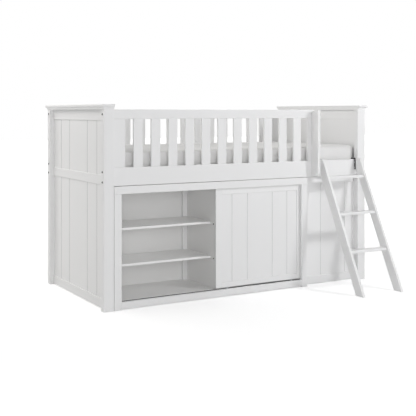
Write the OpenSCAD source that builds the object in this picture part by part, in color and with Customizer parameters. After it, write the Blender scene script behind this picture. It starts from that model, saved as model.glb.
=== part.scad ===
// Cabin bed: a raised single bed on four posts, with panelled ends, a slatted guard rail,
// a storage unit with open shelves and a sliding door under it, and a hook-on ladder.
// X runs along the bed, Y from the front to the back, Z up. Millimetres.

/* [Bed frame] */
// Length over the posts
bed_l = 2050; // [1960:10:2300]
// Width over the posts
bed_w = 1005; // [990:5:1200]
// Height of the posts
post_h = 1228; // [1180:2:1400]
// Post size along the bed
post_w = 68; // [56:1:80]
// Post size across the bed
post_t = 42; // [36:1:50]
// Thickness of the side and guard rails
rail_t = 22; // [18:1:26]
// Height of the side rails
side_rail_h = 113; // [95:1:130]
// Underside of the side rails above the floor
side_rail_z = 760; // [720:1:800]
// Softening of the boards' long edges
edge_r = 3; // [1:0.5:4]

/* [Bed ends] */
// Thickness of the end rails
end_rail_t = 22; // [18:1:26]
// Set-back of the end rails behind the posts' outer faces
end_recess = 26; // [10:1:30]
// Height of the top end rail
end_top_h = 68; // [50:1:90]
// Height of the middle end rail
end_mid_h = 59; // [40:1:80]
// Underside of the middle end rail above the floor
end_mid_z = 765; // [700:1:820]
// Height of the bottom end rail
end_bottom_h = 58; // [40:1:80]
// Clear height under the bottom end rail
end_lift = 5; // [2:1:20]
// Thickness of the grooved end panels
end_panel_t = 12; // [9:1:15]
// Set-back of the panels behind the end rails
end_panel_inset = 7; // [3:1:9]
// Width of the middle plank of an end panel
end_wide_plank = 317; // [200:1:400]
// Width of the planks beside the middle one
end_plank = 157; // [80:1:180]
// Height of the moulded cap
cap_h = 32; // [24:1:40]
// Overhang of the cap past the posts
cap_over = 14; // [8:1:20]

/* [Panel grooves] */
// Width of a groove
groove_w = 6; // [3:0.5:8]
// Depth of a groove
groove_d = 3; // [1.5:0.5:4]

/* [Guard rails] */
// Height of the guard's top rail
guard_rail_h = 58; // [45:1:75]
// Width of a slat in the front guard
slat_w = 64.5; // [45:0.5:80]
// Width of a slat in the rear guard
rear_slat_w = 57.5; // [45:0.5:70]
// Thickness of a guard slat
slat_t = 16; // [12:1:18]
// Gaps in the front guard
front_gaps = 12; // [8:1:14]
// Gaps in the rear guard
rear_gaps = 15; // [10:1:18]
// Width of the front guard's end stiles
front_stile_w = 80; // [60:1:110]
// Width of the rear guard's end stiles
rear_stile_w = 80; // [60:1:110]
// Open length between the front guard and the right post
ladder_gap = 360.5; // [350:0.5:420]
// Depth of the grip board in front of the guard
grip_depth = 76; // [50:1:90]
// Thickness of the grip board
grip_t = 21; // [18:1:28]
// Radius of the grip board's upper rear corner
grip_top_r = 42; // [20:1:48]
// Radius of the grip board's lower front corner
grip_bottom_r = 32; // [15:1:45]
// Height of the grip board's foot above the side rail's underside
grip_lift = 8; // [2:1:30]

/* [Mattress base] */
// Depth of the slat ledgers
ledger_w = 22; // [18:1:30]
// Height of the slat ledgers
ledger_h = 22; // [18:1:30]
// Height of the ledgers' underside above that of the side rails
ledger_lift = 36; // [20:1:60]
// Number of bed slats
base_slats = 13; // [9:1:16]
// Width of a bed slat
base_slat_w = 70; // [50:1:90]
// Thickness of a bed slat
base_slat_t = 15; // [12:1:20]
// Width of the tapes that space the slats
tape_w = 25; // [15:1:40]
// Thickness of the tapes
tape_t = 1; // [0.5:0.1:1.5]
// Room between the mattress and the left end
mattress_left_gap = 44; // [15:1:60]
// Room between the mattress and the right end
mattress_right_gap = 10; // [5:1:40]
// Room between the mattress and the guards
mattress_side_gap = 20.5; // [14:0.5:30]
// Thickness of the mattress
mattress_h = 142; // [120:1:190]
// Rounding of the mattress in plan
mattress_r = 25; // [15:5:80]

/* [Storage unit] */
// Length of the storage unit
unit_l = 1460; // [1300:5:1500]
// Depth of the storage unit
unit_d = 446; // [350:1:600]
// Thickness of the unit's boards
board_t = 16; // [15:1:19]
// Thickness of the unit's back
back_t = 6; // [3:1:8]
// Thickness of the face frame
face_t = 20; // [16:1:24]
// Width of the face frame's stiles
face_stile_w = 50; // [40:1:60]
// Height of the face frame's top rail
face_rail_h = 48; // [40:1:60]
// Height of the kick rail
kick_h = 43; // [38:1:60]
// Clear height under the kick rail
kick_lift = 7; // [3:1:15]
// Clearance round the unit
unit_gap = 2; // [1:0.5:4]
// Underside of the lower shelves above the floor
shelf_z1 = 246; // [200:1:280]
// Underside of the upper shelves above the floor
shelf_z2 = 473; // [420:1:520]
// Set-back of the open shelves behind the face frame's front
open_shelf_y = 100; // [60:1:160]
// How much lower the shelves behind the door lie
hidden_drop = 6; // [0:0.5:12]
// Width of the corner battens
batten_w = 34; // [20:1:45]
// Depth of the corner battens
batten_d = 22; // [15:1:30]

/* [Sliding door] */
// Width of the door
door_w = 700; // [640:5:715]
// Thickness of the door
door_t = 18; // [15:0.5:19]
// Width of the door's stiles and top rail
door_frame_w = 46; // [35:1:60]
// Height of the door's bottom rail
door_bottom_h = 36; // [30:1:60]
// Lap of the closed door behind the face frame's stile
door_lap = 22; // [10:1:30]
// Lap of the door behind the face frame's top rail
door_top_lap = 5; // [2:1:8]
// Clear height between the kick rail's top and the door
door_lift = 6; // [4:1:10]
// Thickness of the door's grooved field
door_field_t = 9; // [6:1:10]
// Set-back of the field behind the door's frame
door_inset = 6; // [2:0.5:6]
// Width of the door's middle plank
door_wide_plank = 201; // [120:1:260]
// Width of the planks beside the middle one
door_plank = 122; // [80:1:150]
// Width of the door's tracks
track_w = 24; // [22:0.5:28]
// Height of the tracks
track_h = 18; // [14:1:18]
// Thickness of the tracks' strips
track_wall = 2; // [1.5:0.5:2.5]
// Diameter of the door's rollers
roller_d = 18; // [14:1:19]
// Width of a roller
roller_w = 6; // [5:0.5:7]
// Diameter of a roller's axle
axle_d = 4; // [3:0.5:5]
// Radial running clearance of a roller on its axle
axle_clear = 0.05; // [0.02:0.01:0.1]
// Clearance between a roller and the track
roll_clear = 0.3; // [0.2:0.1:0.5]
// Distance of the rollers and guides from the door's edges
roller_inset = 90; // [60:5:150]

/* [Fixed front panel] */
// Set-back of the fixed panel's rails behind the posts
panel_y = 40; // [36:1:50]
// Thickness of the fixed panel's rails and of its field
panel_t = 12; // [9:1:15]
// Height of the fixed panel's bottom rail
panel_bottom_h = 56; // [40:1:80]
// Clear height under the fixed panel
panel_lift = 2; // [1:1:5]
// Shadow gap between the fixed panel and the post
panel_gap = 8; // [2:1:12]
// Width of the fixed panel's planks
panel_plank = 217; // [150:1:260]
// Width of the plank next to the post
panel_first_plank = 73; // [40:1:120]
// Size of the cleats behind the fixed panel
cleat = 22; // [18:1:28]

/* [Ladder] */
// Play of the ladder at each side of its opening
ladder_play = 3.5; // [2:0.5:12]
// Thickness of a stringer
stringer_t = 20; // [18:1:26]
// Face width of a stringer
stringer_w = 70; // [50:1:75]
// Lean of the ladder from upright
lean = 26; // [20:0.5:30]
// Height of the stringers' tips above the side rail
stringer_over = 7; // [0:1:20]
// Height of the stringers' upright cut against the side rail
stringer_cut = 43; // [30:1:60]
// Number of treads
treads = 3; // [2:1:3]
// Top of the first tread above the floor
tread_z = 282; // [230:1:290]
// Rise from tread to tread
tread_rise = 242; // [220:1:255]
// Depth of a tread
tread_d = 56; // [45:1:70]
// Thickness of a tread
tread_t = 20; // [16:1:26]
// Set-back of the treads behind the stringers' front edges
tread_inset = 10; // [4:1:14]
// Width of the hook's bar
hook_w = 9; // [7:1:12]
// Thickness of the hook's plate
hook_t = 5; // [3:1:6]
// Length of the hook's leg on the stringer
hook_leg = 74; // [50:1:90]
// Depth of the hook's nose behind the side rail
hook_nose = 26; // [15:1:35]
// Clearance between the hook and the side rail
hook_clear = 0.4; // [0.3:0.1:2]

/* [Fasteners] */
// Diameter of the frame bolts
bolt_d = 6; // [5:1:8]
// Diameter of a bolt's head
bolt_head_d = 13; // [11:1:16]
// Height of a bolt's head
bolt_head_h = 3; // [2:0.5:5]
// Clearance of a bolt in its hole
bolt_clear = 0.5; // [0.2:0.1:1]
// Reach of a bolt into its rail
bolt_reach = 45; // [40:1:60]
// Spacing of the two bolts in a side rail
bolt_spread = 62; // [40:1:70]
// Diameter of a barrel nut
nut_d = 10; // [9:0.5:12]
// Length of a barrel nut
nut_l = 14; // [12:1:16]
// Distance of a barrel nut from its rail's end
nut_in = 30; // [25:1:35]
// Diameter of a shelf pin and of a screw's shank
pin_d = 5; // [4:0.5:6]
// Depth of a shelf pin in its board
pin_in = 6; // [5:0.5:7]
// Length of a shelf pin outside its board
pin_out = 9; // [6:1:12]
// Diameter of a screw's head
screw_head_d = 9; // [7:0.5:10]
// Length of a screw past its board
screw_grip = 30; // [20:1:40]

/* [Hidden] */
$fn = 32;
// steps in a softened corner
arc_steps = 3;
// clearance of what rests on, or leans against, another piece
fit = 0.3;
// clearance of the base's boards inside the frame
base_gap = 2;
// set-back of the base's boards from the posts
base_inset = 20;
// clearance between strips that lie side by side
strip_gap = 0.1;

white = [0.94, 0.94, 0.93];
inside_white = [0.90, 0.90, 0.89];
steel = [0.62, 0.63, 0.65];
dark_metal = [0.16, 0.16, 0.17];
cloth = [0.93, 0.93, 0.92];
tan_tape = [0.86, 0.85, 0.82];

// the frame's main planes
inner_x0 = post_w;
inner_x1 = bed_l - post_w;
inner_l = inner_x1 - inner_x0;
rail_y = (post_t - rail_t) / 2;
rear_rail_y = bed_w - rail_y - rail_t;
side_rail_top = side_rail_z + side_rail_h;
guard_z = post_h - guard_rail_h;
end_y0 = post_t;
end_l = bed_w - 2 * post_t;
end_top_z = post_h - end_top_h;
end_panel_x = end_recess + end_panel_inset;
end_panel_in = end_panel_x + end_panel_t;

// the guards
front_guard_l = inner_l - ladder_gap;
guard_end = inner_x0 + front_guard_l;
slat_y = (rail_t - slat_t) / 2;
slat_h = guard_z - side_rail_top;
grip_x = guard_end - (front_stile_w + grip_t) / 2;
grip_z = side_rail_z + grip_lift;

// the mattress and its base
mattress_x = end_recess + end_rail_t + mattress_left_gap;
mattress_l = bed_l - 2 * (end_recess + end_rail_t) - mattress_left_gap - mattress_right_gap;
mattress_y = rail_y + rail_t + mattress_side_gap;
ledger_z = side_rail_z + ledger_lift;
base_z = ledger_z + ledger_h;
base_x0 = inner_x0 + base_inset;
base_l = inner_l - 2 * base_inset;
mattress_z = base_z + base_slat_t + tape_t + fit;

// the storage unit
unit_x0 = inner_x0 + unit_gap;
unit_x1 = unit_x0 + unit_l;
unit_top = side_rail_z - unit_gap;
bay_x0 = unit_x0 + board_t;
bay_x1 = unit_x1 - board_t;
back_y = unit_d - back_t;
batten_y = back_y - batten_d;
kick_top = kick_lift + kick_h;
floor_y = face_t + track_w;
ceiling_z = unit_top - board_t;
face_rail_z = unit_top - face_rail_h;
open_zs = [shelf_z1, shelf_z2];
hidden_zs = [shelf_z1 - hidden_drop, shelf_z2 - hidden_drop];
// distance of the shelf pins from a shelf's front edge and from the battens
pin_inset = 35;
// distance of the shelf screws from a shelf's front edge
screw_inset = 8;
screw_head_h = 2.5;

// the door
track_y = face_t + track_w / 2;
track_drop = 2;
track_z = kick_top - track_drop - track_h;
door_x = unit_x1 - face_stile_w + door_lap - door_w;
door_y = track_y - door_t / 2;
door_z = kick_top + door_lift;
door_h = face_rail_z + door_top_lap - door_z;
// lap of the closed door over the divider's edge, and room behind the door
divider_lap = 3;
door_room = 2;
divider_x = door_x + divider_lap;
hidden_shelf_y = floor_y + 3 * door_room;
screw_y = hidden_shelf_y + screw_inset;
roller_z = track_z + track_wall + roll_clear + roller_d / 2;
roller_xs = [door_x + roller_inset, door_x + door_w - roller_inset];
bracket_gap = roller_w + 1;
bracket_wall = 1.5;
bracket_l = 60;
axle_end = 0.4;

// the fixed panel
panel_x0 = unit_x1 + unit_gap;
panel_x1 = inner_x1 - panel_gap;
panel_l = panel_x1 - panel_x0;

// the ladder
ladder_x = guard_end + ladder_play;
ladder_w = ladder_gap - 2 * ladder_play;
stringer_xs = [ladder_x, ladder_x + ladder_w - stringer_t];
rest_y = rail_y - fit;
cut_z = side_rail_top + stringer_over - stringer_cut;
foot_rear = rest_y - cut_z * tan(lean);
foot_front = foot_rear - stringer_w / cos(lean);
hook_y = rest_y - hook_w - 6;

// middle of the bed with its ladder, across the bed
middle_y = (foot_front + bed_w + cap_over) / 2;

// ---------- outlines ----------

// points of a quarter circle of radius r about c, starting at angle a
function arc(c, r, a) =
  [for (i = [0 : arc_steps]) c + r * [cos(a + i * 90 / arc_steps), sin(a + i * 90 / arc_steps)]];

// rectangle w by d with softened corners
function soft_rect(w, d, want = edge_r) =
  let (r = min(want, w / 3, d / 3))
  concat(arc([w - r, d - r], r, 0), arc([r, d - r], r, 90),
         arc([r, r], r, 180), arc([w - r, r], r, 270));

// cross-section of a board with V grooves in its front, at y = 0
function grooved(w, t, grooves) =
  concat([[0, 0]],
         [for (g = grooves, p = [[-0.5, 0], [0, 1], [0.5, 0]]) [g + p[0] * groove_w, p[1] * groove_d]],
         [[w, 0], [w, t], [0, t]]);

// groove places on a panel w wide: one wide middle plank and a plank each side
function middle_grooves(w, wide, plank) =
  [for (g = [-wide / 2 - plank, -wide / 2, wide / 2, wide / 2 + plank]) w / 2 + g];

// ---------- building blocks ----------

// everything is drawn from the left front post's outer corner
module place() translate([-bed_l / 2, -middle_y, 0]) children();

// boards with softened edges along X, Y or Z
module board_x(at, size)
  translate(at) rotate([90, 0, 90]) linear_extrude(size[0]) polygon(soft_rect(size[1], size[2]));

module board_y(at, size)
  translate(at + [0, size[1], 0]) rotate([90, 0, 0])
    linear_extrude(size[1]) polygon(soft_rect(size[0], size[2]));

module board_z(at, size)
  translate(at) linear_extrude(size[2]) polygon(soft_rect(size[0], size[1]));

// rod of diameter d and length l from a point, along X or Y
module rod_x(at, d, l) translate(at) rotate([0, 90, 0]) cylinder(d = d, h = l);
module rod_y(at, d, l) translate(at + [0, l, 0]) rotate([90, 0, 0]) cylinder(d = d, h = l);

// the right end is the left one turned over
module at_end(right)
  if (right) translate([bed_l, 0, 0]) mirror([1, 0, 0]) children();
  else children();

// ---------- bolted joints of posts and rails ----------

side_bolt_zs = [for (s = [-0.5, 0.5]) side_rail_z + side_rail_h / 2 + s * bolt_spread];
guard_bolt_z = guard_z + guard_rail_h / 2;

// heights of the bolts in a post; the ladder's post carries no guard
function bolt_zs(right, rear) =
  right && !rear ? side_bolt_zs : concat(side_bolt_zs, [guard_bolt_z]);

function bolt_y(rear) = rear ? bed_w - post_t / 2 : post_t / 2;

bolt_hole_d = bolt_d + 2 * bolt_clear;

module bolt_holes(zs, y, x0, x1)
  for (z = zs) rod_x([x0, y, z], bolt_hole_d, x1 - x0);

// bolt holes and barrel-nut bores in the end of a rail, in the left end's frame
module rail_bores(zs, y)
  for (z = zs) {
    rod_x([post_w - 1, y, z], bolt_hole_d, bolt_reach + 2);
    rod_y([post_w + nut_in, y - nut_l / 2, z], nut_d, nut_l);
  }

module post(right, rear)
  place() at_end(right) color(white) difference() {
    board_z([0, rear ? bed_w - post_t : 0, 0], [post_w, post_t, post_h]);
    bolt_holes(bolt_zs(right, rear), bolt_y(rear), -1, post_w + 1);
  }

module left_front_post() post(false, false);
module left_rear_post() post(false, true);
module right_front_post() post(true, false);
module right_rear_post() post(true, true);

module bolt(y, z) {
  rod_x([-bolt_head_h, y, z], bolt_head_d, bolt_head_h);
  rod_x([0, y, z], bolt_d, post_w + bolt_reach);
}

module frame_bolts()
  place() color(dark_metal)
    for (right = [false, true], rear = [false, true], z = bolt_zs(right, rear))
      at_end(right) bolt(bolt_y(rear), z);

module barrel_nuts()
  place() color(steel)
    for (right = [false, true], rear = [false, true], z = bolt_zs(right, rear))
      at_end(right) difference() {
        rod_y([post_w + nut_in, bolt_y(rear) - nut_l / 2, z], nut_d, nut_l);
        rod_x([post_w + nut_in - nut_d, bolt_y(rear), z], bolt_d, 2 * nut_d);
      }

// ---------- bed ends ----------

module end_rails(right)
  place() at_end(right) color(white)
    for (r = [[end_lift, end_bottom_h], [end_mid_z, end_mid_h], [end_top_z, end_top_h]])
      board_y([end_recess, end_y0, r[0]], [end_rail_t, end_l, r[1]]);

module left_end_rails() end_rails(false);
module right_end_rails() end_rails(true);

// one panel below the middle rail and one above it, grooved on the outside
module end_panels(right)
  place() at_end(right) color(white)
    for (z = [[end_lift + end_bottom_h, end_mid_z], [end_mid_z + end_mid_h, end_top_z]])
      translate([end_panel_x, end_y0, z[0]]) mirror([1, -1, 0]) linear_extrude(z[1] - z[0])
        polygon(grooved(end_l, end_panel_t, middle_grooves(end_l, end_wide_plank, end_plank)));

module left_end_panels() end_panels(false);
module right_end_panels() end_panels(true);

// edge of the cap from its bottom up: bead, cove and square nosing
// each point is [distance in from the nosing, height]
cap_nosing = 0.45 * cap_h;
cap_cove = cap_over - 4;
cap_edge = concat(
  [[cap_over - 1, 0], [cap_over - 1, 3]],
  [for (i = [0 : 4]) [cap_over - 3 - (cap_cove - 1) * (1 - cos(i * 22.5)),
                      4 + (cap_h - cap_nosing - 4) * sin(i * 22.5)]],
  [[1.5, cap_h - cap_nosing + 1], [0, cap_h - cap_nosing + 2.5], [0, cap_h - 3], [1, cap_h - 1], [3, cap_h]]);

// section of a cap w wide, moulded on the low side, and on the high side too if both is set
function cap_section(w, both) =
  concat(cap_edge, both ? [for (i = [len(cap_edge) - 1 : -1 : 0]) [w - cap_edge[i][0], cap_edge[i][1]]]
                        : [[w - 2, cap_h], [w, cap_h - 2], [w, 0]]);

module cap(right)
  place() at_end(right) color(white) translate([-cap_over, -cap_over, post_h])
    intersection() {
      translate([0, bed_w + 2 * cap_over, 0]) rotate([90, 0, 0])
        linear_extrude(bed_w + 2 * cap_over) polygon(cap_section(post_w + cap_over, false));
      rotate([90, 0, 90]) linear_extrude(post_w + cap_over)
        polygon(cap_section(bed_w + 2 * cap_over, true));
    }

module left_cap() cap(false);
module right_cap() cap(true);

// ---------- side rails and guards ----------

module side_rail(rear)
  place() color(white) difference() {
    board_x([inner_x0, rear ? rear_rail_y : rail_y, side_rail_z], [inner_l, rail_t, side_rail_h]);
    for (right = [false, true]) at_end(right) rail_bores(side_bolt_zs, bolt_y(rear));
  }

module front_side_rail() side_rail(false);
module rear_side_rail() side_rail(true);

module front_guard_rail()
  place() color(white) difference() {
    board_x([inner_x0, rail_y, guard_z], [front_guard_l, rail_t, guard_rail_h]);
    rail_bores([guard_bolt_z], bolt_y(false));
  }

module rear_guard_rail()
  place() color(white) difference() {
    board_x([inner_x0, rear_rail_y, guard_z], [inner_l, rail_t, guard_rail_h]);
    for (right = [false, true]) at_end(right) rail_bores([guard_bolt_z], bolt_y(true));
  }

// evenly spaced slats between two stiles
module guard_slats(l, y, stile, w, gaps) {
  gap = (l - 2 * stile - (gaps - 1) * w) / gaps;
  for (i = [1 : gaps - 1])
    board_z([inner_x0 + stile + i * gap + (i - 1) * w, y + slat_y, side_rail_top], [w, slat_t, slat_h]);
}

module guard_stiles(l, y, stile)
  for (x = [inner_x0, inner_x0 + l - stile])
    board_z([x, y, side_rail_top], [stile, rail_t, slat_h]);

module front_guard_slats()
  place() color(white) guard_slats(front_guard_l, rail_y, front_stile_w, slat_w, front_gaps);
module rear_guard_slats()
  place() color(white) guard_slats(inner_l, rear_rail_y, rear_stile_w, rear_slat_w, rear_gaps);
module front_guard_stiles() place() color(white) guard_stiles(front_guard_l, rail_y, front_stile_w);
module rear_guard_stiles() place() color(white) guard_stiles(inner_l, rear_rail_y, rear_stile_w);

// board to hold on to beside the ladder, with two rounded corners
module grip_board() {
  h = post_h - grip_z;
  outline = concat([[0, grip_bottom_r]], arc([grip_bottom_r, grip_bottom_r], grip_bottom_r, 180),
                   [[grip_depth, 0]], arc([grip_depth - grip_top_r, h - grip_top_r], grip_top_r, 0),
                   [[edge_r, h], [0, h - edge_r]]);
  place() color(white) translate([grip_x, rail_y - grip_depth, grip_z])
    rotate([90, 0, 90]) linear_extrude(grip_t) polygon(outline);
}

// ---------- mattress base ----------

module slat_ledgers()
  place() color(white)
    for (y = [rail_y + rail_t, rear_rail_y - ledger_w])
      board_x([base_x0, y, ledger_z], [base_l, ledger_w, ledger_h]);

module bed_slats() {
  pitch = (base_l - base_slat_w) / (base_slats - 1);
  y0 = rail_y + rail_t + base_gap;
  place() color(white)
    for (i = [0 : base_slats - 1])
      board_y([base_x0 + i * pitch, y0, base_z],
              [base_slat_w, rear_rail_y - base_gap - y0, base_slat_t]);
}

module slat_tapes()
  place() color(tan_tape)
    for (s = [0.22, 0.78])
      translate([base_x0, s * bed_w - tape_w / 2, base_z + base_slat_t]) cube([base_l, tape_w, tape_t]);

module mattress()
  place() color(cloth)
    translate([mattress_x, mattress_y, mattress_z]) linear_extrude(mattress_h)
      polygon(soft_rect(mattress_l, bed_w - 2 * mattress_y, mattress_r));

// ---------- storage unit ----------

rear_pin_y = batten_y - pin_inset;
open_pin_ys = [open_shelf_y + pin_inset, rear_pin_y];

// pins under the shelves in a board whose bay lies beyond its face at x, on the +X side if dir is 1
module bay_pins(x, dir, ys, zs)
  for (z = zs, y = ys)
    rod_x([dir > 0 ? x - pin_in : x - pin_out, y, z - pin_d / 2], pin_d, pin_in + pin_out);

module unit_side(x) board_z([x, face_t, 0], [board_t, back_y - face_t, unit_top]);

// screws through an upright into the shelves behind the door; dir is 1 towards +X, and proud is how
// far the heads stand out of the upright
module screws_at(x, dir, proud)
  for (z = hidden_zs) translate([x, screw_y, z + board_t / 2]) rotate([0, dir * 90, 0]) {
    translate([0, 0, -proud]) cylinder(d = screw_head_d, h = screw_head_h);
    cylinder(d = pin_d, h = board_t + screw_grip);
  }

module unit_screws() {
  screws_at(divider_x, 1, screw_head_h);
  screws_at(unit_x1, -1, 0);
}

// the open shelves lie on four pins each
module left_pins() {
  bay_pins(bay_x0, 1, open_pin_ys, open_zs);
  bay_pins(divider_x, -1, open_pin_ys, open_zs);
}

// the shelves behind the door are screwed at the front and lie on pins at the rear
module right_pins() {
  bay_pins(divider_x + board_t, 1, [rear_pin_y], hidden_zs);
  bay_pins(bay_x1, -1, [rear_pin_y], hidden_zs);
}

module unit_left_side() place() color(white) difference() { unit_side(unit_x0); left_pins(); }
module unit_right_side()
  place() color(white) difference() { unit_side(unit_x1 - board_t); right_pins(); unit_screws(); }

module unit_divider()
  place() color(inside_white) difference() {
    board_z([divider_x, floor_y + door_room, kick_top],
            [board_t, back_y - floor_y - door_room, ceiling_z - kick_top]);
    left_pins();
    right_pins();
    unit_screws();
  }

module unit_top()
  place() color(white)
    board_x([bay_x0, face_t, ceiling_z], [bay_x1 - bay_x0, back_y - face_t, board_t]);

module unit_floor()
  place() color(inside_white)
    board_x([bay_x0, floor_y, kick_top - board_t], [bay_x1 - bay_x0, back_y - floor_y, board_t]);

module unit_back()
  place() color(inside_white)
    translate([unit_x0, back_y, kick_lift]) cube([unit_l, back_t, unit_top - kick_lift]);

module face_top_rail()
  place() color(white) board_x([unit_x0, 0, face_rail_z], [unit_l, face_t, face_rail_h]);

module face_stile(x) place() color(white) board_z([x, 0, 0], [face_stile_w, face_t, face_rail_z]);
module face_left_stile() face_stile(unit_x0);
module face_right_stile() face_stile(unit_x1 - face_stile_w);

module kick_rail()
  place() color(white)
    board_x([unit_x0 + face_stile_w, 0, kick_lift], [unit_l - 2 * face_stile_w, face_t, kick_h]);

module open_shelf(z)
  place() color(inside_white)
    board_x([bay_x0, open_shelf_y, z], [divider_x - bay_x0, batten_y - open_shelf_y, board_t]);

module hidden_shelf(z)
  place() color(inside_white) difference() {
    board_x([divider_x + board_t, hidden_shelf_y, z],
            [bay_x1 - divider_x - board_t, batten_y - hidden_shelf_y, board_t]);
    unit_screws();
  }

module left_lower_shelf() open_shelf(shelf_z1);
module left_upper_shelf() open_shelf(shelf_z2);
module right_lower_shelf() hidden_shelf(hidden_zs[0]);
module right_upper_shelf() hidden_shelf(hidden_zs[1]);

module shelf_pins() place() color(steel) { left_pins(); right_pins(); }
module shelf_screws() place() color(dark_metal) unit_screws();

// upright battens in the bays' rear corners, and the one that carries the bottom track
module unit_battens()
  place() color(white) {
    for (x = [bay_x0, divider_x - batten_w, divider_x + board_t, bay_x1 - batten_w])
      board_z([x, batten_y, kick_top], [batten_w, batten_d, ceiling_z - kick_top]);
    board_x([bay_x0, face_t, kick_lift], [bay_x1 - bay_x0, track_w, track_z - kick_lift]);
  }

// ---------- sliding door ----------

// a flat strip at the bottom of the track, held between two strips on edge
module track() {
  l = bay_x1 - bay_x0;
  for (y = [0, track_w - track_wall]) translate([bay_x0, face_t + y, 0]) cube([l, track_wall, track_h]);
  side = track_wall + strip_gap;
  translate([bay_x0, face_t + side, 0]) cube([l, track_w - 2 * side, track_wall]);
}

module bottom_track() place() color(dark_metal) translate([0, 0, track_z]) track();
module top_track() place() color(dark_metal) translate([0, 0, ceiling_z]) mirror([0, 0, 1]) track();

module door_stiles()
  place() color(white)
    for (x = [door_x, door_x + door_w - door_frame_w])
      board_z([x, door_y, door_z], [door_frame_w, door_t, door_h]);

module door_rails() {
  l = door_w - 2 * door_frame_w;
  place() color(white) {
    board_x([door_x + door_frame_w, door_y, door_z], [l, door_t, door_bottom_h]);
    board_x([door_x + door_frame_w, door_y, door_z + door_h - door_frame_w], [l, door_t, door_frame_w]);
  }
}

module door_field() {
  w = door_w - 2 * door_frame_w;
  place() color(white)
    translate([door_x + door_frame_w, door_y + door_inset, door_z + door_bottom_h])
      linear_extrude(door_h - door_bottom_h - door_frame_w)
        polygon(grooved(w, door_field_t, middle_grooves(w, door_wide_plank, door_plank)));
}

// blocks that run in the top track
module door_guides() {
  guide_t = track_w - 2 * (track_wall + 1);
  h = ceiling_z - track_wall - 4 - door_z - door_h;
  place() color(dark_metal)
    for (x = roller_xs)
      board_x([x - bracket_l / 2, track_y - guide_t / 2, door_z + door_h], [bracket_l, guide_t, h]);
}

// plate under the door with two cheeks that hold a roller's axle
module roller_bracket(x) {
  cheek_r = roller_d / 2 - 2;
  plate_z = door_z - bracket_wall;
  translate([x - bracket_l / 2, track_y - bracket_gap / 2 - bracket_wall, plate_z])
    cube([bracket_l, bracket_gap + 2 * bracket_wall, bracket_wall]);
  for (y = [track_y - bracket_gap / 2 - bracket_wall, track_y + bracket_gap / 2])
    difference() {
      union() {
        rod_y([x, y, roller_z], 2 * cheek_r, bracket_wall);
        translate([x - cheek_r, y, roller_z]) cube([2 * cheek_r, bracket_wall, plate_z - roller_z]);
      }
      rod_y([x, y - 1, roller_z], axle_d, bracket_wall + 2);
    }
}

module roller_brackets() place() color(steel) for (x = roller_xs) roller_bracket(x);

module roller_axles()
  place() color(steel)
    for (x = roller_xs) {
      half = bracket_gap / 2 + bracket_wall + axle_end;
      rod_y([x, track_y - half, roller_z], axle_d, 2 * half);
    }

// plain wheel with softened rims
module roller(x) {
  r = roller_d / 2;
  w = roller_w / 2;
  place() color(dark_metal) translate([x, track_y, roller_z]) rotate([90, 0, 0])
    rotate_extrude($fn = 64)
      polygon([[axle_d / 2 + axle_clear, -w], [r - 1, -w], [r, 1 - w], [r, w - 1], [r - 1, w],
               [axle_d / 2 + axle_clear, w]]);
}

module left_roller() roller(roller_xs[0]);
module right_roller() roller(roller_xs[1]);

// ---------- fixed front panel beside the unit ----------

module front_panel_rails()
  place() color(white)
    for (r = [[panel_lift, panel_bottom_h], [face_rail_z, face_rail_h]])
      board_x([panel_x0, panel_y, r[0]], [panel_l, panel_t, r[1]]);

// planks laid from the post towards the unit
module front_panel_field()
  place() color(white)
    translate([panel_x0, panel_y + panel_t, panel_lift]) linear_extrude(unit_top - panel_lift)
      polygon(grooved(panel_l, panel_t, [for (i = [1 : -1 : 0])
        if (panel_l - panel_first_plank - i * panel_plank > groove_w)
          panel_l - panel_first_plank - i * panel_plank]));

module panel_cleats() {
  z0 = end_lift + end_bottom_h + 5;
  h = unit_top - face_rail_h - z0;
  rear = panel_y + 2 * panel_t;
  place() color(white) {
    board_z([panel_x1, post_t, z0], [bed_l - end_panel_in - panel_x1, rear - post_t, h]);
    board_z([unit_x1, rear, z0], [cleat, cleat, h]);
  }
}

// ---------- ladder ----------

// front edge of the stringers at height z
function ladder_front(z) = foot_front + z * tan(lean);

// leaning board, cut level at the floor and the tip, and upright against the side rail
module stringer(x)
  place() color(white) intersection() {
    translate([x, foot_front, 0]) rotate([-lean, 0, 0])
      translate([0, 0, -stringer_w]) linear_extrude(2 * side_rail_top)
        polygon(soft_rect(stringer_t, stringer_w));
    translate([x - 1, foot_front - 1, 0])
      cube([stringer_t + 2, rest_y - foot_front + 1, side_rail_top + stringer_over]);
  }

module ladder_left_stringer() stringer(stringer_xs[0]);
module ladder_right_stringer() stringer(stringer_xs[1]);

module ladder_treads()
  place() color(white)
    for (i = [0 : treads - 1]) {
      z = tread_z + i * tread_rise;
      board_x([ladder_x + stringer_t, ladder_front(z) + tread_inset, z - tread_t],
              [ladder_w - 2 * stringer_t, tread_d, tread_t]);
    }

// flat bar bent over the side rail: leg, bridge and nose
module hook_outline() {
  top = side_rail_top + hook_clear + hook_w;
  nose_y = rail_y + rail_t + hook_clear;
  bend = 0.8 * hook_w;
  polygon(concat(
    [[hook_y, top - bend - hook_leg]],
    [[hook_y + hook_w, top - bend - hook_leg], [hook_y + hook_w, top - hook_w], [nose_y, top - hook_w],
     [nose_y, top - hook_w - hook_nose], [nose_y + hook_w, top - hook_w - hook_nose]],
    arc([nose_y + hook_w - bend, top - bend], bend, 0),
    arc([hook_y + bend, top - bend], bend, 90)));
}

hook_xs = [ladder_x + stringer_t, ladder_x + ladder_w - stringer_t - hook_t];
hook_screw_zs = [for (k = [0.3, 0.8]) side_rail_top - k * hook_leg];
hook_screw_d = 4;

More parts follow.
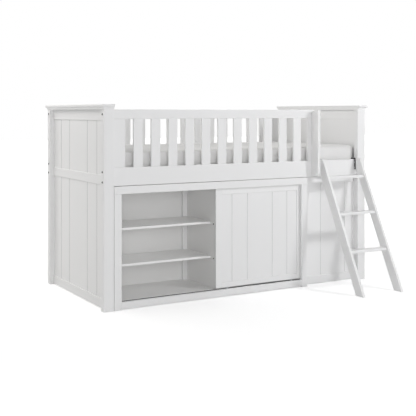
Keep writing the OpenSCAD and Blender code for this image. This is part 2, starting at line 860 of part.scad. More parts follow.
// screws of one hook, from its free face at x into the stringer; dir is 1 towards +X
module hook_screws(x, dir)
  for (z = hook_screw_zs) translate([x, hook_y + hook_w / 2, z]) rotate([0, dir * 90, 0]) {
    translate([0, 0, -1.5]) cylinder(d = 7, h = 1.5);
    cylinder(d = hook_screw_d, h = hook_t);
  }

module all_hook_screws() {
  hook_screws(hook_xs[0] + hook_t, -1);
  hook_screws(hook_xs[1], 1);
}

module ladder_hooks()
  place() color(dark_metal) difference() {
    for (x = hook_xs) translate([x, 0, 0]) rotate([90, 0, 90]) linear_extrude(hook_t) hook_outline();
    all_hook_screws();
  }

module ladder_screws() place() color(steel) all_hook_screws();

// ---------- nodes ----------

left_front_post();
left_rear_post();
right_front_post();
right_rear_post();
left_end_rails();
right_end_rails();
left_end_panels();
right_end_panels();
left_cap();
right_cap();
front_side_rail();
rear_side_rail();
front_guard_rail();
rear_guard_rail();
front_guard_slats();
rear_guard_slats();
front_guard_stiles();
rear_guard_stiles();
grip_board();
slat_ledgers();
bed_slats();
slat_tapes();
mattress();
unit_left_side();
unit_divider();
unit_right_side();
unit_top();
unit_floor();
unit_back();
face_top_rail();
face_left_stile();
face_right_stile();
kick_rail();
left_lower_shelf();
left_upper_shelf();
right_lower_shelf();
right_upper_shelf();
shelf_pins();
shelf_screws();
unit_battens();
bottom_track();
top_track();
door_stiles();
door_rails();
door_field();
door_guides();
roller_brackets();
roller_axles();
left_roller();
right_roller();
front_panel_field();
front_panel_rails();
panel_cleats();
ladder_left_stringer();
ladder_right_stringer();
ladder_treads();
ladder_hooks();
ladder_screws();
frame_bolts();
barrel_nuts();
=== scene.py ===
"""Cabin bed: materials, soft goods, fittings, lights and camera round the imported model."""
import math

import bmesh
import bpy
from mathutils import Matrix, Vector


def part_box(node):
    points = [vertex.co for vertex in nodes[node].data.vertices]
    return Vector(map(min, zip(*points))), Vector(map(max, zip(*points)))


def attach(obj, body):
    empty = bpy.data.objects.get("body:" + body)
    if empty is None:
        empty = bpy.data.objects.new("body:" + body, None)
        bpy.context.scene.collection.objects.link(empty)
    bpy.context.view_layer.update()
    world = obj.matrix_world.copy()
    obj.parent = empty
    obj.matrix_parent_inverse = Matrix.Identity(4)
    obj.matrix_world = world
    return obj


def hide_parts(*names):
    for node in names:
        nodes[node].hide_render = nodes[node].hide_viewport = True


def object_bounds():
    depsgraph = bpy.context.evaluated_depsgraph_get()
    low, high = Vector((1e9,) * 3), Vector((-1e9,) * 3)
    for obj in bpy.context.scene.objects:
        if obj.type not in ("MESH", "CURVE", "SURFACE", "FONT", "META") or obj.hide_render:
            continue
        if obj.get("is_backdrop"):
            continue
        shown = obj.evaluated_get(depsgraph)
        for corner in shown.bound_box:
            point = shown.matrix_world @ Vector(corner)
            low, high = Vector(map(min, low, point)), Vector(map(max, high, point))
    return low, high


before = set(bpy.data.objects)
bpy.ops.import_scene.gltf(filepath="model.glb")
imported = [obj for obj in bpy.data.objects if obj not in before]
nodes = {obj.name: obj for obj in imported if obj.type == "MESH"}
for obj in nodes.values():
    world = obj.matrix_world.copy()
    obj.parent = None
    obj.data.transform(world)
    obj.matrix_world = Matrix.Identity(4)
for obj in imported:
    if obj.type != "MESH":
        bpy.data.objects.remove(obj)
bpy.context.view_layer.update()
scene = bpy.context.scene

# ---------------------------------------------------------------- node helpers


def link(tree, source, target):
    tree.links.new(source, target)


def add(tree, kind, **values):
    """A shader node with its properties and plain input values set."""
    node = tree.nodes.new(kind)
    for name, value in values.items():
        if name.startswith("in_"):
            node.inputs[name[3:].replace("_", " ")].default_value = value
        else:
            setattr(node, name, value)
    return node


def math_node(tree, operation, a, b=None, clamp=False):
    """A Math node whose inputs are sockets or numbers."""
    node = add(tree, "ShaderNodeMath", operation=operation, use_clamp=clamp)
    for index, value in enumerate((a, b)):
        if value is None:
            continue
        if isinstance(value, (int, float)):
            node.inputs[index].default_value = value
        else:
            link(tree, value, node.inputs[index])
    return node.outputs[0]


def ramp(tree, factor, stops):
    """A colour ramp used as a curve from 0 to 1; stops are (place, grey)."""
    node = add(tree, "ShaderNodeValToRGB")
    elements = node.color_ramp.elements
    while len(elements) < len(stops):
        elements.new(0.5)
    for element, (place, grey) in zip(elements, stops):
        element.position = place
        element.color = (grey, grey, grey, 1)
    link(tree, factor, node.inputs["Fac"])
    return node.outputs["Color"]


def swing(tree, value, width):
    """A mask from 0 to 1 turned into one that swings by width about 0."""
    return math_node(tree, "MULTIPLY", math_node(tree, "SUBTRACT", value, 0.5), width)


def scale_vector(tree, vector, factor):
    """A vector or colour times one number."""
    node = add(tree, "ShaderNodeVectorMath", operation="SCALE")
    link(tree, vector, node.inputs[0])
    link(tree, factor, node.inputs["Scale"])
    return node.outputs[0]


def group(name, inputs, outputs):
    """An empty node group and its input and output nodes."""
    tree = bpy.data.node_groups.new(name, "ShaderNodeTree")
    for kind, label, value in inputs:
        socket = tree.interface.new_socket(label, in_out="INPUT", socket_type=kind)
        if value is not None:
            socket.default_value = value
    for kind, label in outputs:
        tree.interface.new_socket(label, in_out="OUTPUT", socket_type=kind)
    return tree, tree.nodes.new("NodeGroupInput"), tree.nodes.new("NodeGroupOutput")


VECTOR, FLOAT, COLOUR = "NodeSocketVector", "NodeSocketFloat", "NodeSocketColor"


def noise(tree, vector, scale, detail=3.0, rough=0.5):
    node = add(tree, "ShaderNodeTexNoise", in_Scale=scale, in_Detail=detail, in_Roughness=rough)
    link(tree, vector, node.inputs["Vector"])
    return node.outputs["Fac"]


# ---------------------------------------------------------------- shared effects

# how often each pattern comes in a metre
CLOUDS, STREAKS, PORES, PEEL = 3.0, 30.0, 160.0, 420.0
SLUBS, FOLD_SHADE, SMUDGES = 60.0, 5.0, 25.0
# how fast a mask rises to 1 as the surface turns away
MASK_GAIN = 5.0
# how far from an arris the paint is thin
THIN_PAINT = 0.0025


def paint_film():
    """Brushed paint over wood: tone, sheen and height.

    Place is object space and Grain is the same, stretched along a board. Groove paints shade
    on the slanted walls of a board's V grooves, darkening them in colour.
    """
    tree, inp, out = group(
        "Paint film",
        [(VECTOR, "Place", None), (VECTOR, "Grain", None), (COLOUR, "Paint", (0.8, 0.8, 0.8, 1)),
         (FLOAT, "Tone", 0.03), (FLOAT, "Sheen", 0.4), (FLOAT, "Edge", 0.06),
         (FLOAT, "Groove", 0.0)],
        [(COLOUR, "Colour"), (FLOAT, "Roughness"), (FLOAT, "Height")])
    clouds = noise(tree, inp.outputs["Place"], CLOUDS)
    streaks = noise(tree, inp.outputs["Grain"], STREAKS, 4.0, 0.6)
    pores = ramp(tree, noise(tree, inp.outputs["Grain"], PORES, 2.0), [(0.55, 0.0), (0.75, 1.0)])
    peel = noise(tree, inp.outputs["Place"], PEEL, 2.0)

    # a slightly duller, warmer line where the paint is thin on an arris
    bevel = add(tree, "ShaderNodeBevel", samples=4, in_Radius=THIN_PAINT)
    geometry = add(tree, "ShaderNodeNewGeometry")
    dot = add(tree, "ShaderNodeVectorMath", operation="DOT_PRODUCT")
    link(tree, bevel.outputs[0], dot.inputs[0])
    link(tree, geometry.outputs["Normal"], dot.inputs[1])
    edge = math_node(tree, "SUBTRACT", 1.0, dot.outputs["Value"], clamp=True)
    edge = math_node(tree, "MULTIPLY", edge, MASK_GAIN, clamp=True)

    uneven = math_node(tree, "ADD", math_node(tree, "MULTIPLY", clouds, 0.6),
                       math_node(tree, "MULTIPLY", streaks, 0.4))
    uneven = swing(tree, uneven, inp.outputs["Tone"])
    worn = math_node(tree, "MULTIPLY", edge, inp.outputs["Edge"])
    level = math_node(tree, "SUBTRACT", math_node(tree, "ADD", 1.0, uneven), worn)

    # 1 where the surface lies off the board's own directions, 0 on its faces
    facing = add(tree, "ShaderNodeSeparateXYZ")
    link(tree, add(tree, "ShaderNodeTexCoord").outputs["Normal"], facing.inputs[0])
    x, y, z = (math_node(tree, "ABSOLUTE", part) for part in facing.outputs)
    square = math_node(tree, "MAXIMUM", math_node(tree, "MAXIMUM", x, y), z)
    slant = math_node(tree, "SUBTRACT", 1.0, square)
    slant = math_node(tree, "MULTIPLY", slant, MASK_GAIN, clamp=True)
    # painted shade in the V grooves: their slanted walls are darkened by the Groove amount
    groove_shade = math_node(tree, "MULTIPLY", slant, inp.outputs["Groove"])
    level = math_node(tree, "SUBTRACT", level, groove_shade)
    link(tree, scale_vector(tree, inp.outputs["Paint"], level), out.inputs["Colour"])

    rough = math_node(tree, "ADD", inp.outputs["Sheen"], swing(tree, streaks, 0.16))
    link(tree, math_node(tree, "ADD", rough, math_node(tree, "MULTIPLY", edge, 0.1), clamp=True),
         out.inputs["Roughness"])
    relief = math_node(tree, "ADD", math_node(tree, "MULTIPLY", streaks, 0.5),
                       math_node(tree, "MULTIPLY", peel, 0.35))
    link(tree, math_node(tree, "SUBTRACT", relief, math_node(tree, "MULTIPLY", pores, 0.4)),
         out.inputs["Height"])
    return tree


def plain_weave():
    """Two crossing sets of threads, with a slub here and there."""
    tree, inp, out = group(
        "Plain weave",
        [(VECTOR, "Place", None), (FLOAT, "Threads", 900.0),
         (COLOUR, "Cloth", (0.8, 0.8, 0.8, 1))],
        [(COLOUR, "Colour"), (FLOAT, "Height")])
    parts = add(tree, "ShaderNodeSeparateXYZ")
    counted = scale_vector(tree, inp.outputs["Place"], inp.outputs["Threads"])
    link(tree, counted, parts.inputs[0])
    x, y, z = parts.outputs
    across = math_node(tree, "ADD", math_node(tree, "SINE", x), math_node(tree, "SINE", z))
    along = math_node(tree, "ADD", math_node(tree, "SINE", y), math_node(tree, "COSINE", z))
    threads = math_node(tree, "MULTIPLY", across, along)
    threads = math_node(tree, "ADD", math_node(tree, "MULTIPLY", threads, 0.2), 0.5, clamp=True)
    slubs = noise(tree, inp.outputs["Place"], SLUBS, 4.0, 0.7)
    # painted shade of soft folds in the cloth: broad patches up to 3 percent lighter or darker
    fold_shade = noise(tree, inp.outputs["Place"], FOLD_SHADE, 2.0)
    level = math_node(tree, "ADD", 0.93, math_node(tree, "MULTIPLY", threads, 0.06))
    level = math_node(tree, "ADD", level, swing(tree, fold_shade, 0.06))
    link(tree, scale_vector(tree, inp.outputs["Cloth"], level), out.inputs["Colour"])
    height = math_node(tree, "ADD", math_node(tree, "MULTIPLY", threads, 0.5),
                       math_node(tree, "MULTIPLY", slubs, 0.6))
    link(tree, height, out.inputs["Height"])
    return tree


def fine_speckle():
    """Small even mottling, for moulded plastic, powder coat and zinc."""
    tree, inp, out = group(
        "Fine speckle",
        [(VECTOR, "Place", None), (COLOUR, "Base", (0.1, 0.1, 0.1, 1)), (FLOAT, "Scale", 300.0),
         (FLOAT, "Tone", 0.1), (FLOAT, "Sheen", 0.4)],
        [(COLOUR, "Colour"), (FLOAT, "Roughness"), (FLOAT, "Height")])
    node = add(tree, "ShaderNodeTexNoise", in_Detail=4.0, in_Roughness=0.6)
    link(tree, inp.outputs["Place"], node.inputs["Vector"])
    link(tree, inp.outputs["Scale"], node.inputs["Scale"])
    fine = node.outputs["Fac"]
    smudge = noise(tree, inp.outputs["Place"], SMUDGES)
    level = math_node(tree, "ADD", math_node(tree, "SUBTRACT", fine, 0.5),
                      math_node(tree, "SUBTRACT", smudge, 0.5))
    level = math_node(tree, "ADD", 1.0, math_node(tree, "MULTIPLY", level, inp.outputs["Tone"]))
    link(tree, scale_vector(tree, inp.outputs["Base"], level), out.inputs["Colour"])
    rough = math_node(tree, "ADD", inp.outputs["Sheen"], swing(tree, smudge, 0.3), clamp=True)
    link(tree, rough, out.inputs["Roughness"])
    link(tree, fine, out.inputs["Height"])
    return tree


PAINT_FILM = paint_film()
PLAIN_WEAVE = plain_weave()
FINE_SPECKLE = fine_speckle()

# ---------------------------------------------------------------- materials


def start_material(name):
    """A material with an empty tree, its shader and its object coordinates."""
    material = bpy.data.materials.new(name)
    material.use_nodes = True
    tree = material.node_tree
    tree.nodes.clear()
    surface = add(tree, "ShaderNodeOutputMaterial")
    shader = add(tree, "ShaderNodeBsdfPrincipled")
    link(tree, shader.outputs[0], surface.inputs["Surface"])
    place = add(tree, "ShaderNodeTexCoord").outputs["Object"]
    return material, tree, shader, place


def place_group(tree, shader, shared, place, values, bump, depth):
    """Puts a shared effect in a material and wires it to the shader."""
    node = add(tree, "ShaderNodeGroup", node_tree=shared)
    link(tree, place, node.inputs["Place"])
    for label, value in values.items():
        node.inputs[label].default_value = value
    link(tree, node.outputs["Colour"], shader.inputs["Base Color"])
    if "Roughness" in node.outputs:
        link(tree, node.outputs["Roughness"], shader.inputs["Roughness"])
    bumps = add(tree, "ShaderNodeBump", in_Strength=bump, in_Distance=depth)
    link(tree, node.outputs["Height"], bumps.inputs["Height"])
    link(tree, bumps.outputs[0], shader.inputs["Normal"])
    return node


# scales that draw the grain out along one direction of a board
GRAIN_ALONG = {"x": (0.06, 1.0, 1.0), "y": (1.0, 0.06, 1.0), "z": (1.0, 1.0, 0.06)}
# how deep the bumps of a finish go
PAINT_RELIEF = 0.0004
SPECKLE_RELIEF = 0.0002


def painted_wood(name, along, paint, tone=0.02, sheen=0.38, edge=0.05, bump=0.22, groove=0.0):
    """Brushed paint on boards whose grain runs along one direction."""
    material, tree, shader, place = start_material(name)
    stretch = add(tree, "ShaderNodeMapping")
    stretch.inputs["Scale"].default_value = GRAIN_ALONG[along]
    link(tree, place, stretch.inputs["Vector"])
    values = {"Paint": (*paint, 1), "Tone": tone, "Sheen": sheen, "Edge": edge, "Groove": groove}
    node = place_group(tree, shader, PAINT_FILM, place, values, bump, PAINT_RELIEF)
    link(tree, stretch.outputs[0], node.inputs["Grain"])
    shader.inputs["Specular IOR Level"].default_value = 0.45
    return material


def cloth(name, colour, threads, bump, depth):
    """Woven cotton or tape, with the soft sheen of its fibres."""
    material, tree, shader, place = start_material(name)
    values = {"Cloth": (*colour, 1), "Threads": threads}
    place_group(tree, shader, PLAIN_WEAVE, place, values, bump, depth)
    shader.inputs["Roughness"].default_value = 0.9
    shader.inputs["Sheen Weight"].default_value = 0.25
    shader.inputs["Sheen Roughness"].default_value = 0.4
    return material


def speckled(name, colour, metallic, scale, tone, sheen, bump=0.15):
    """Moulded plastic, powder coat or zinc plate."""
    material, tree, shader, place = start_material(name)
    values = {"Base": (*colour, 1), "Scale": scale, "Tone": tone, "Sheen": sheen}
    place_group(tree, shader, FINE_SPECKLE, place, values, bump, SPECKLE_RELIEF)
    shader.inputs["Metallic"].default_value = metallic
    return material


WHITE = (0.875, 0.875, 0.873)
BOARD = (0.875, 0.872, 0.862)
# the shelves and the unit's floor are a lighter copy of the board colour, as painted light for
# the brightly lit shelf tops
LIT_SHELF = (0.925, 0.922, 0.912)
# the boards of the storage unit are smoother and more even than the painted wood
LAMINATE = {"tone": 0.012, "sheen": 0.34, "edge": 0.03, "bump": 0.1}
wood = {a: painted_wood(f"white_paint_{a}", a, WHITE) for a in "xyz"}
board = {a: painted_wood(f"white_board_{a}", a, BOARD, **LAMINATE) for a in "xz"}
lit_shelf_board = painted_wood("white_lit_shelf_x", "x", LIT_SHELF, **LAMINATE)
# the matchboards' V grooves get painted shade, deeper on the end panels than on the door and
# front panel
end_matchboard = painted_wood("white_end_matchboard", "z", WHITE, groove=0.3)
front_matchboard = painted_wood("white_front_matchboard", "z", WHITE, groove=0.12)
dark_metal = speckled("black_powder_coat", (0.022, 0.022, 0.024), 0.0, 900.0, 0.3, 0.42)
dark_plastic = speckled("dark_grey_plastic", (0.045, 0.045, 0.047), 0.0, 600.0, 0.2, 0.5)
zinc = speckled("zinc_plate", (0.62, 0.63, 0.65), 1.0, 220.0, 0.12, 0.34)
ticking = cloth("mattress_cotton", (0.84, 0.837, 0.828), 4200.0, 0.35, 0.0006)
webbing = cloth("woven_tape", (0.60, 0.58, 0.53), 2600.0, 0.5, 0.0008)

FINISH = {
    "left_front_post": wood["z"], "left_rear_post": wood["z"],
    "right_front_post": wood["z"], "right_rear_post": wood["z"],
    "left_end_rails": wood["y"], "right_end_rails": wood["y"],
    "left_end_panels": end_matchboard, "right_end_panels": end_matchboard,
    "left_cap": wood["y"], "right_cap": wood["y"],
    "front_side_rail": wood["x"], "rear_side_rail": wood["x"],
    "front_guard_rail": wood["x"], "rear_guard_rail": wood["x"],
    "front_guard_slats": wood["z"], "rear_guard_slats": wood["z"],
    "front_guard_stiles": wood["z"], "rear_guard_stiles": wood["z"],
    "grip_board": wood["z"],
    "slat_ledgers": wood["x"], "bed_slats": wood["y"], "slat_tapes": webbing,
    "unit_left_side": board["z"], "unit_divider": board["z"], "unit_right_side": board["z"],
    "unit_top": board["x"], "unit_floor": lit_shelf_board, "unit_back": board["x"],
    "face_top_rail": wood["x"], "face_left_stile": wood["z"], "face_right_stile": wood["z"],
    "kick_rail": wood["x"],
    "left_lower_shelf": lit_shelf_board, "left_upper_shelf": lit_shelf_board,
    "right_lower_shelf": lit_shelf_board, "right_upper_shelf": lit_shelf_board,
    "shelf_pins": zinc, "shelf_screws": dark_metal, "unit_battens": wood["z"],
    "bottom_track": dark_plastic, "top_track": dark_plastic,
    "door_stiles": wood["z"], "door_rails": wood["x"], "door_field": front_matchboard,
    "door_guides": dark_plastic, "roller_brackets": zinc, "roller_axles": zinc,
    "left_roller": dark_plastic, "right_roller": dark_plastic,
    "front_panel_field": front_matchboard, "front_panel_rails": wood["x"],
    "panel_cleats": wood["z"],
    "ladder_left_stringer": wood["z"], "ladder_right_stringer": wood["z"],
    "ladder_treads": wood["x"], "ladder_hooks": dark_metal, "ladder_screws": zinc,
    "frame_bolts": dark_metal, "barrel_nuts": zinc, "mattress": ticking,
}
for name, node in nodes.items():
    node.data.materials.clear()
    node.data.materials.append(FINISH[name])

# ---------------------------------------------------------------- piece helpers

# vertices nearer than this are one
SAME_PLACE = 1e-6


def new_piece(name, bm, material, body):
    """Turns a bmesh into a finished piece that rides on a body of the frame."""
    bmesh.ops.recalc_face_normals(bm, faces=bm.faces)
    mesh = bpy.data.meshes.new(name)
    bm.to_mesh(mesh)
    bm.free()
    mesh.materials.append(material)
    piece = bpy.data.objects.new(name, mesh)
    scene.collection.objects.link(piece)
    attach(piece, body)
    return piece


def smooth(piece, angle=35):
    """Rounds off the shading across edges blunter than the angle."""
    piece.data.shade_smooth()
    piece.data.set_sharp_from_angle(angle=math.radians(angle))


def evaluated_mesh(piece):
    graph = bpy.context.evaluated_depsgraph_get()
    return bpy.data.meshes.new_from_object(piece.evaluated_get(graph))


def apply_modifiers(piece):
    mesh = evaluated_mesh(piece)
    piece.modifiers.clear()
    piece.data = mesh


def solids_of(name):
    """Lowest and highest corner of each separate solid in a node."""
    bm = bmesh.new()
    bm.from_mesh(nodes[name].data)
    bmesh.ops.remove_doubles(bm, verts=bm.verts, dist=SAME_PLACE)
    left = set(bm.verts)
    boxes = []
    while left:
        reached = {left.pop()}
        front = list(reached)
        while front:
            vert = front.pop()
            for edge in vert.link_edges:
                other = edge.other_vert(vert)
                if other in left:
                    left.discard(other)
                    reached.add(other)
                    front.append(other)
        corners = [vert.co for vert in reached]
        boxes.append((Vector([min(c[i] for c in corners) for i in range(3)]),
                      Vector([max(c[i] for c in corners) for i in range(3)])))
    bm.free()
    return sorted(boxes, key=lambda pair: tuple(pair[0]))


def turned(outline, steps=24):
    """A solid turned about Z from (radius, height) points, the first and last on the axis."""
    bm = bmesh.new()
    verts = [bm.verts.new((radius, 0, height)) for radius, height in outline]
    edges = [bm.edges.new(pair) for pair in zip(verts, verts[1:])]
    bmesh.ops.spin(bm, geom=verts + edges, cent=(0, 0, 0), axis=(0, 0, 1), angle=math.tau,
                   steps=steps, use_merge=True)
    bmesh.ops.remove_doubles(bm, verts=bm.verts, dist=SAME_PLACE)
    return bm


def reshape_ring(bm, radius, factor):
    """Moves the vertices at one radius in or out by factor(angle)."""
    for vert in bm.verts:
        if abs(math.hypot(vert.co.x, vert.co.y) - radius) < SAME_PLACE:
            share = factor(math.atan2(vert.co.y, vert.co.x))
            vert.co.x *= share
            vert.co.y *= share


def hexagon(angle):
    """Radius of a hexagon over that of the circle through its corners."""
    side = math.radians(60)
    return math.cos(side / 2) / math.cos(angle % side - side / 2)


# half the angle that an arm of the recess takes up, and how far in the recess goes between arms
ARM_HALF_ANGLE = 10
RECESS_WAIST = 0.42


def cross(angle):
    """Radius of a four-armed recess over that of the circle through its tips."""
    quarter = math.radians(90)
    off = abs((angle + quarter / 2) % quarter - quarter / 2)
    return 1.0 if off < math.radians(ARM_HALF_ANGLE) else RECESS_WAIST


def stand(bm, place, sign):
    """Lays a piece turned about Z along X, its top towards sign, and moves it to its place."""
    turn = Matrix.Rotation(sign * math.radians(90), 4, "Y")
    bmesh.ops.transform(bm, matrix=Matrix.Translation(place) @ turn, verts=bm.verts)


def join(parts):
    """One bmesh from several."""
    whole = bmesh.new()
    for part in parts:
        mesh = bpy.data.meshes.new("part")
        part.to_mesh(mesh)
        part.free()
        whole.from_mesh(mesh)
        bpy.data.meshes.remove(mesh)
    return whole


# ---------------------------------------------------------------- softened arrises on the boards

BOARD_ARRIS = 0.0012
SMALL_ARRIS = 0.0006
# a groove's walls meet the face at 45 degrees and stay crisp
SHARPEST_KEPT = 50

BOARD_FINISHES = [*wood.values(), *board.values(), lit_shelf_board]
BOARD_NODES = [name for name, finish in FINISH.items() if finish in BOARD_FINISHES]
SMALL_NODES = ["ladder_hooks", "door_guides", "left_roller", "right_roller"]


def soften(node, width):
    """Rounds the square edges of a CAD node by a modifier."""
    weld = node.modifiers.new("weld", "WELD")
    weld.merge_threshold = 0.00001
    arris = node.modifiers.new("arris", "BEVEL")
    arris.width = width
    arris.segments = 2
    arris.limit_method = "ANGLE"
    arris.angle_limit = math.radians(SHARPEST_KEPT)
    arris.harden_normals = True


for name in BOARD_NODES:
    soften(nodes[name], BOARD_ARRIS)
for name in SMALL_NODES:
    soften(nodes[name], SMALL_ARRIS)

# ---------------------------------------------------------------- mattress

# the cover starts a little inside the CAD block and swells by this much at most
COVER_INSET = 0.002
TOP_INSET = 0.005
SWELL = 0.004
# size of the cover's faces, and the last frame of its swelling
VOXEL = 0.0135
LAST_FRAME = 20
# radii of the upright corners, of the edges round top and bottom, and of the seams
CORNER = 0.016
SHOULDER = 0.013
WELT = 0.0016
# the cloth is held this near to its seams
SEAM_BAND = 0.02


def cover_outline(low, high, radius, steps=8):
    """Points of the mattress's outline in plan, with rounded corners."""
    corners = [((high.x - radius, high.y - radius), 0), ((low.x + radius, high.y - radius), 90),
               ((low.x + radius, low.y + radius), 180), ((high.x - radius, low.y + radius), 270)]
    return [(cx + radius * math.cos(math.radians(start + 90 * i / steps)),
             cy + radius * math.sin(math.radians(start + 90 * i / steps)))
            for (cx, cy), start in corners for i in range(steps + 1)]


def rise(edge):
    """How far apart the ends of an edge are in height."""
    return abs(edge.verts[0].co.z - edge.verts[1].co.z)


def round_edges(bm, edges, radius, segments):
    bmesh.ops.bevel(bm, geom=edges, offset=radius, segments=segments, profile=0.5,
                    affect="EDGES", material=-1)


def block(low, high):
    """The mattress before it swells: a block with rounded corners and soft shoulders."""
    bm = bmesh.new()
    bmesh.ops.create_cube(bm, size=1)
    bmesh.ops.scale(bm, vec=high - low, verts=bm.verts)
    bmesh.ops.translate(bm, vec=(low + high) / 2, verts=bm.verts)
    round_edges(bm, [edge for edge in bm.edges if rise(edge) > 0.01], CORNER, 6)
    round_edges(bm, [edge for edge in bm.edges if rise(edge) < 0.00001], SHOULDER, 4)
    return bm


def swell(cover, low, high):
    """Blows the cover up a little between its seams, as foam fills a sewn case."""
    held = []
    for vert in cover.data.vertices:
        x, y, z = vert.co
        to_face = min(abs(z - low.z), abs(z - high.z))
        to_side = min(x - low.x, high.x - x, y - low.y, high.y - y)
        if to_face < SEAM_BAND and to_side < SEAM_BAND:
            held.append(vert.index)
    seams = cover.vertex_groups.new(name="seams")
    seams.add(held, 1.0, "ADD")
    before = [vert.co.copy() for vert in cover.data.vertices]
    pressure = cover.modifiers.new("cloth", "CLOTH")
    pressure.settings.use_pressure = True
    pressure.settings.uniform_pressure_force = 4
    pressure.settings.vertex_group_mass = "seams"
    pressure.settings.tension_stiffness = 12
    pressure.settings.compression_stiffness = 12
    pressure.settings.effector_weights.gravity = 0
    pressure.point_cache.frame_start, pressure.point_cache.frame_end = 1, LAST_FRAME
    for number in range(1, LAST_FRAME + 1):
        scene.frame_set(number)
    apply_modifiers(cover)
    for vert, start in zip(cover.data.vertices, before):
        shift = vert.co - start
        if shift.length > SWELL:
            vert.co = start + shift.normalized() * SWELL
    scene.frame_set(1)


def welt(name, outline, height):
    """Thin corded seam round the cover."""
    curve = bpy.data.curves.new(name, "CURVE")
    curve.dimensions = "3D"
    curve.bevel_depth = WELT
    curve.bevel_resolution = 3
    spline = curve.splines.new("POLY")
    spline.points.add(len(outline) - 1)
    spline.use_cyclic_u = True
    for point, (x, y) in zip(spline.points, outline):
        point.co = (x, y, height, 1)
    path = bpy.data.objects.new("path", curve)
    scene.collection.objects.link(path)
    bm = bmesh.new()
    bm.from_mesh(evaluated_mesh(path))
    bpy.data.objects.remove(path)
    smooth(new_piece(name, bm, ticking, "mattress"), 60)


def make_mattress():
    low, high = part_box("mattress")
    inset = Vector((COVER_INSET, COVER_INSET, 0))
    start_low = low + inset
    start_high = high - inset - Vector((0, 0, TOP_INSET))
    cover = new_piece("mattress_cover", block(start_low, start_high), ticking,
                      "mattress")
    remesh = cover.modifiers.new("remesh", "REMESH")
    remesh.mode = "VOXEL"
    remesh.voxel_size = VOXEL
    apply_modifiers(cover)
    swell(cover, start_low, start_high)
    for vert in cover.data.vertices:
        vert.co.z = max(vert.co.z, low.z)
    rounding = cover.modifiers.new("rounding", "SUBSURF")
    rounding.levels = rounding.render_levels = 1
    cover.data.shade_smooth()
    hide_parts("mattress")
    outline = cover_outline(start_low, start_high, CORNER)
    welt("mattress_top_seam", outline, start_high.z - SHOULDER)
    welt("mattress_bottom_seam", outline, low.z + SHOULDER)


make_mattress()

# ---------------------------------------------------------------- fasteners

# shares of a bolt head's diameter, and of its height
BOLT_HEAD_H, BOLT_SHANK_D, SOCKET_R = 3 / 13, 0.46, 0.31
SOCKET_DEPTH = 0.55
# share of a screw head's diameter from its middle to the tips of the recess
RECESS_R = 0.36
# chamfer at a bolt's end and a screw's
BOLT_CHAMFER, SCREW_CHAMFER = 0.0008, 0.001


def bolt(length, head_d, head_h, shank_d):
    """Button-head bolt with a hexagon socket, its head's top at the height head_h."""
    socket = SOCKET_R * head_d
    floor = head_h - SOCKET_DEPTH * head_h
    head, shank = head_d / 2, shank_d / 2
    bm = turned([(0, floor), (socket, floor), (socket, head_h - 0.0002),
                 (socket + 0.0004, head_h), (0.72 * head, head_h - 0.0001),
                 (0.9 * head, 0.76 * head_h), (head, 0.3 * head_h), (head, 0), (shank, 0),
                 (shank, BOLT_CHAMFER - length), (shank - BOLT_CHAMFER, -length), (0, -length)])
    reshape_ring(bm, socket, hexagon)
    return bm


def make_bolts():
    parts = []
    middle = sum((corner.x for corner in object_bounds()), 0) / 2
    for low, high in solids_of("frame_bolts"):
        sign = 1 if low.x > middle else -1
        head_d = high.y - low.y
        head_h = BOLT_HEAD_H * head_d
        part = bolt(high.x - low.x - head_h, head_d, head_h, BOLT_SHANK_D * head_d)
        outer = high.x if sign > 0 else low.x
        stand(part, (outer - sign * head_h, (low.y + high.y) / 2, (low.z + high.z) / 2), sign)
        parts.append(part)
    bolts = new_piece("socket_bolts", join(parts), dark_metal, "frame")
    smooth(bolts)
    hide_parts("frame_bolts")


def screw(length, head_d, head_h, shank_d):
    """Pan-head screw with a four-armed recess, its head's top at the height head_h."""
    arm = RECESS_R * head_d
    foot = 0.6 * arm
    head, shank = head_d / 2, shank_d / 2
    bm = turned([(0, 0.25 * head_h), (foot, 0.3 * head_h), (arm, 0.97 * head_h),
                 (arm + 0.0003, head_h), (0.86 * head, 0.86 * head_h), (head, 0.45 * head_h),
                 (head, 0), (shank, 0), (shank, SCREW_CHAMFER - length), (0.3 * shank, -length),
                 (0, -length)], 32)
    reshape_ring(bm, arm, cross)
    reshape_ring(bm, foot, cross)
    return bm


def make_screws(name, node, material, body, facing, head_share, shank_share):
    """Cross-recess screws along X in place of a node's plain ones.

    The heads face the middle of the pair if facing is 1, and away from it if facing is -1.
    """
    parts = []
    boxes = solids_of(node)
    middle = sum(low.x + high.x for low, high in boxes) / (2 * len(boxes))
    for low, high in boxes:
        sign = facing if high.x < middle else -facing
        head_d = high.z - low.z
        head_h = head_share * head_d
        part = screw(high.x - low.x - head_h, head_d, head_h, shank_share * head_d)
        outer = high.x if sign > 0 else low.x
        stand(part, (outer - sign * head_h, (low.y + high.y) / 2, (low.z + high.z) / 2), sign)
        parts.append(part)
    screws = new_piece(name, join(parts), material, body)
    smooth(screws)
    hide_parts(node)


make_bolts()
make_screws("hook_screws", "ladder_screws", zinc, "ladder",
            facing=1, head_share=1.5 / 7, shank_share=4 / 7)
make_screws("unit_screws", "shelf_screws", dark_metal, "frame",
            facing=-1, head_share=2.5 / 9, shank_share=5 / 9)

# ---------------------------------------------------------------- floor, light and camera

FLOOR_HALF = 30
FLOOR_BELOW = 0.0005
# the floor's own light rises between these distances from the bed's middle
GLOW_START, GLOW_END = 2.0, 6.0
GLOW_NEAR, GLOW_FAR = 0.47, 1.0
# strength of the world's light on the bed
FILL = 0.25


def seen_rays(tree):
    """1 for rays that show a surface, straight or mirrored, and 0 for those that light one."""
    rays = add(tree, "ShaderNodeLightPath")
    straight = math_node(tree, "MAXIMUM", rays.outputs["Is Camera Ray"],
                         rays.outputs["Is Transmission Ray"])
    return math_node(tree, "MAXIMUM", straight, rays.outputs["Is Glossy Ray"])


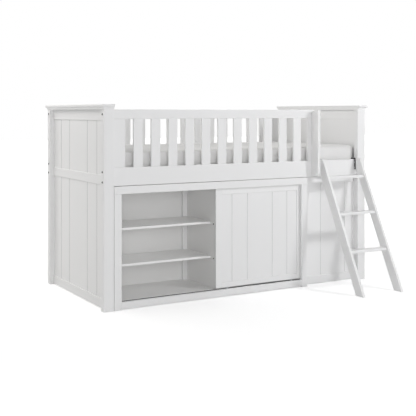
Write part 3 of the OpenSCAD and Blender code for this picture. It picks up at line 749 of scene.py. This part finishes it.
def stage_material(name, colour):
    """Pale surface that takes shadows, with light of its own that falls on nothing."""
    material = bpy.data.materials.new(name)
    material.use_nodes = True
    tree = material.node_tree
    tree.nodes.clear()
    surface = add(tree, "ShaderNodeOutputMaterial")
    diffuse = add(tree, "ShaderNodeBsdfDiffuse", in_Color=(*colour, 1))
    light = add(tree, "ShaderNodeEmission")
    coords = add(tree, "ShaderNodeTexCoord")
    distance = add(tree, "ShaderNodeVectorMath", operation="LENGTH")
    link(tree, coords.outputs["Object"], distance.inputs[0])
    glow = add(tree, "ShaderNodeMapRange", in_From_Min=GLOW_START, in_From_Max=GLOW_END,
               in_To_Min=GLOW_NEAR, in_To_Max=GLOW_FAR)
    link(tree, distance.outputs["Value"], glow.inputs["Value"])
    strength = math_node(tree, "MULTIPLY", seen_rays(tree), glow.outputs["Result"])
    link(tree, strength, light.inputs["Strength"])
    both = add(tree, "ShaderNodeAddShader")
    link(tree, diffuse.outputs[0], both.inputs[0])
    link(tree, light.outputs[0], both.inputs[1])
    link(tree, both.outputs[0], surface.inputs["Surface"])
    return material


def make_floor():
    bm = bmesh.new()
    bmesh.ops.create_grid(bm, x_segments=1, y_segments=1, size=FLOOR_HALF)
    bmesh.ops.translate(bm, verts=bm.verts, vec=(0, 0, -FLOOR_BELOW))
    mesh = bpy.data.meshes.new("studio_floor")
    bm.to_mesh(mesh)
    bm.free()
    floor = bpy.data.objects.new("studio_floor", mesh)
    scene.collection.objects.link(floor)
    mesh.materials.append(stage_material("studio_white", (0.8, 0.8, 0.8)))
    floor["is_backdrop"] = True


def make_world():
    """White where it is seen, and dimmer where it lights the bed."""
    world = bpy.data.worlds.new("studio")
    world.use_nodes = True
    tree = world.node_tree
    tree.nodes.clear()
    surface = add(tree, "ShaderNodeOutputWorld")
    fill = add(tree, "ShaderNodeBackground", in_Color=(1, 1, 1, 1), in_Strength=FILL)
    plain = add(tree, "ShaderNodeBackground", in_Color=(1, 1, 1, 1), in_Strength=1.0)
    mix = add(tree, "ShaderNodeMixShader")
    link(tree, seen_rays(tree), mix.inputs[0])
    link(tree, fill.outputs[0], mix.inputs[1])
    link(tree, plain.outputs[0], mix.inputs[2])
    link(tree, mix.outputs[0], surface.inputs["Surface"])
    scene.world = world


def area_light(name, place, target, size, power, colour):
    data = bpy.data.lights.new(name, "AREA")
    data.color = colour
    data.shape = "RECTANGLE"
    data.size, data.size_y = size
    data.energy = power
    lamp = bpy.data.objects.new(name, data)
    lamp.location = place
    lamp.rotation_euler = (Vector(target) - Vector(place)).to_track_quat("-Z", "Y").to_euler()
    scene.collection.objects.link(lamp)


make_world()
make_floor()
# daylight in front, a warmer room at the side and behind
COOL, WARM = (0.985, 0.987, 1), (1, 0.985, 0.962)
area_light("key", (1.93, -2.55, 2.2), (0.6, -0.2, 0.6), (0.4, 0.4), 31, COOL)
area_light("front_fill", (-2.2, -5.4, 1.2), (0, 0, 0.7), (3.0, 1.8), 75, COOL)
area_light("high_fill", (0.2, -6.0, 2.4), (0, 0, 0.6), (3.2, 2.0), 23, COOL)
area_light("side_fill", (-3.6, 0.8, 4.0), (0.5, 0.2, 0.8), (2.6, 2.6), 52, WARM)
area_light("rear_right_fill", (2.6, 3.4, 2.6), (0.4, 0, 0.8), (2.2, 2.2), 62, WARM)
area_light("rear_left_fill", (-2.6, 3.4, 2.6), (0, 0, 0.8), (2.2, 2.2), 46, WARM)

# the camera that sees the bed as photographed: level, with its frame shifted down, and placed
# from the foot of the left front post
CAMERA_FROM_POST = Vector((-1.9823, -4.6584, 1.2104))
CAMERA_TURN = -30.197
camera_data = bpy.data.cameras.new("camera")
camera_data.sensor_width = 36
camera_data.lens = 71.98
camera_data.shift_y = -0.2298
camera = bpy.data.objects.new("camera", camera_data)
camera.location = Vector(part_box("left_front_post")[0]) + CAMERA_FROM_POST
camera.rotation_euler = (math.radians(90), 0, math.radians(CAMERA_TURN))
scene.collection.objects.link(camera)
scene.camera = camera
scene.view_settings.view_transform = "Standard"
